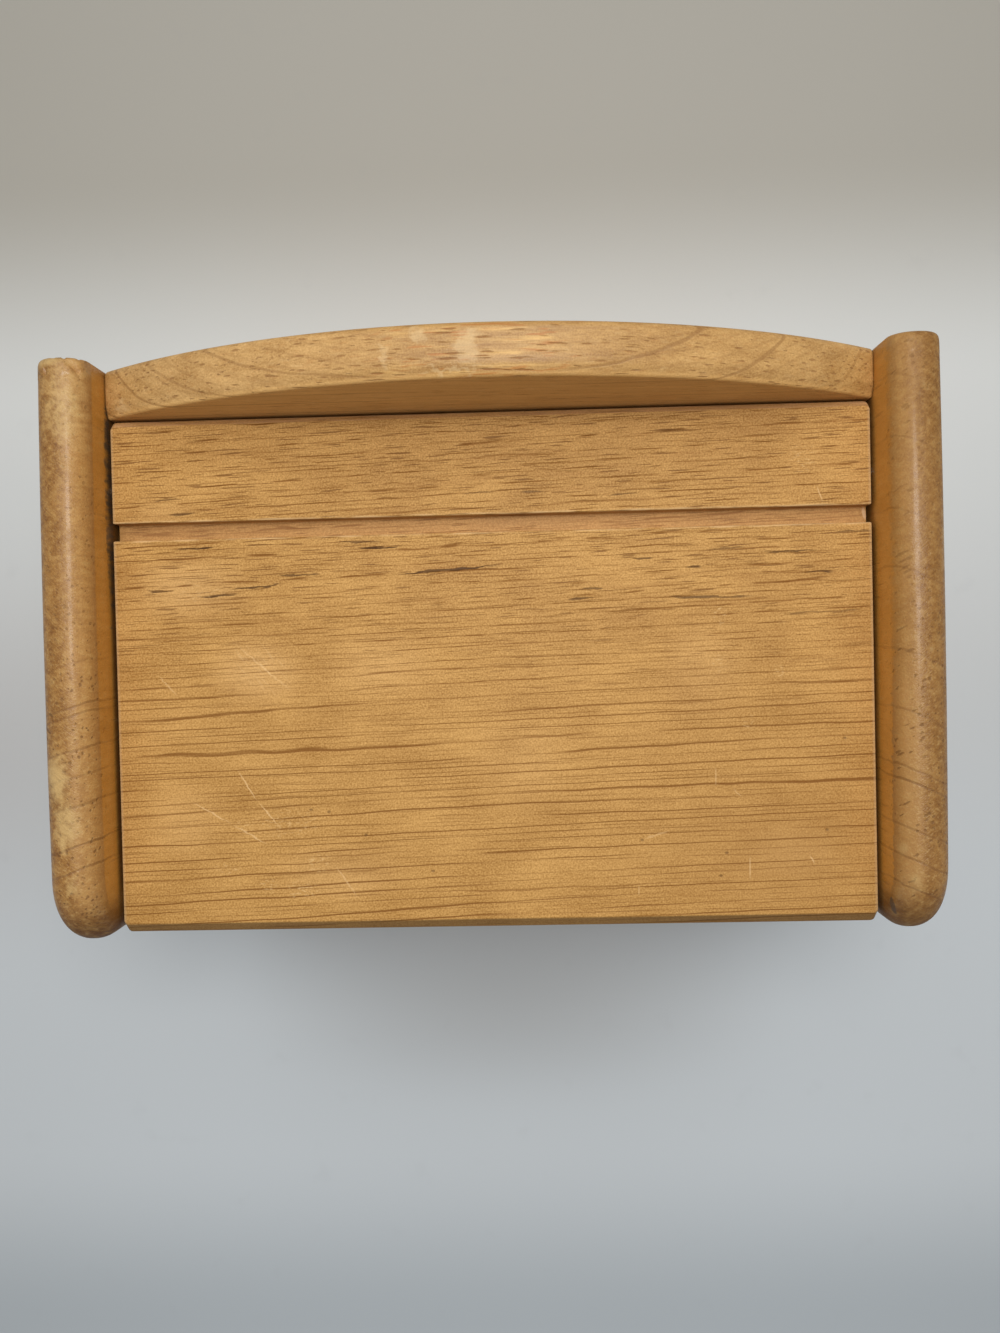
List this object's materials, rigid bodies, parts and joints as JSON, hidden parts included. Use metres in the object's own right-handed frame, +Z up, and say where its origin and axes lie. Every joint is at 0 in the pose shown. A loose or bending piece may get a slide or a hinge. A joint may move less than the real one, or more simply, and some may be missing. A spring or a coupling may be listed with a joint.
{
  "type": "recipe box",
  "caption": "Wooden box for recipe cards with rounded side boards, an arched back board and a hinged one-board lid with a card groove across it.",
  "frame": {"origin": "centre of the bounding box at the surface the box stands on", "axes": "+X to the right seen from the front, +Y to the arched back board, +Z up"},
  "size_m": [0.1822, 0.121, 0.1475],
  "materials": {
    "side_wood": "satin lacquer, end grain along the rounded top edge",
    "back_wood": "satin lacquer",
    "front_wood": "satin lacquer",
    "lid_wood": "satin lacquer, lightly scratched",
    "bottom_ply": "thin plywood, sanded",
    "dowel_wood": "bare beech",
    "pin_steel": "bright wire"
  },
  "bodies": {
    "case": {"left_side": "side_wood", "right_side": "side_wood", "back_board": "back_wood", "front_panel": "front_wood", "bottom_panel": "bottom_ply", "left_pivot_pin": "pin_steel", "right_pivot_pin": "pin_steel", "front_dowel_left_1": "dowel_wood", "front_dowel_left_2": "dowel_wood", "front_dowel_left_3": "dowel_wood", "front_dowel_right_1": "dowel_wood", "front_dowel_right_2": "dowel_wood", "front_dowel_right_3": "dowel_wood", "back_dowel_left_1": "dowel_wood", "back_dowel_left_2": "dowel_wood", "back_dowel_left_3": "dowel_wood", "back_dowel_right_1": "dowel_wood", "back_dowel_right_2": "dowel_wood", "back_dowel_right_3": "dowel_wood"},
    "lid": {"lid": "lid_wood"}
  },
  "joints": [
    {"name": "lid_hinge", "type": "hinge", "parent": "case", "child": "lid", "pos_m": [0, 0.0355, 0.1175], "axis": [-1, 0, 0], "range_deg": [0, 109]}
  ]
}
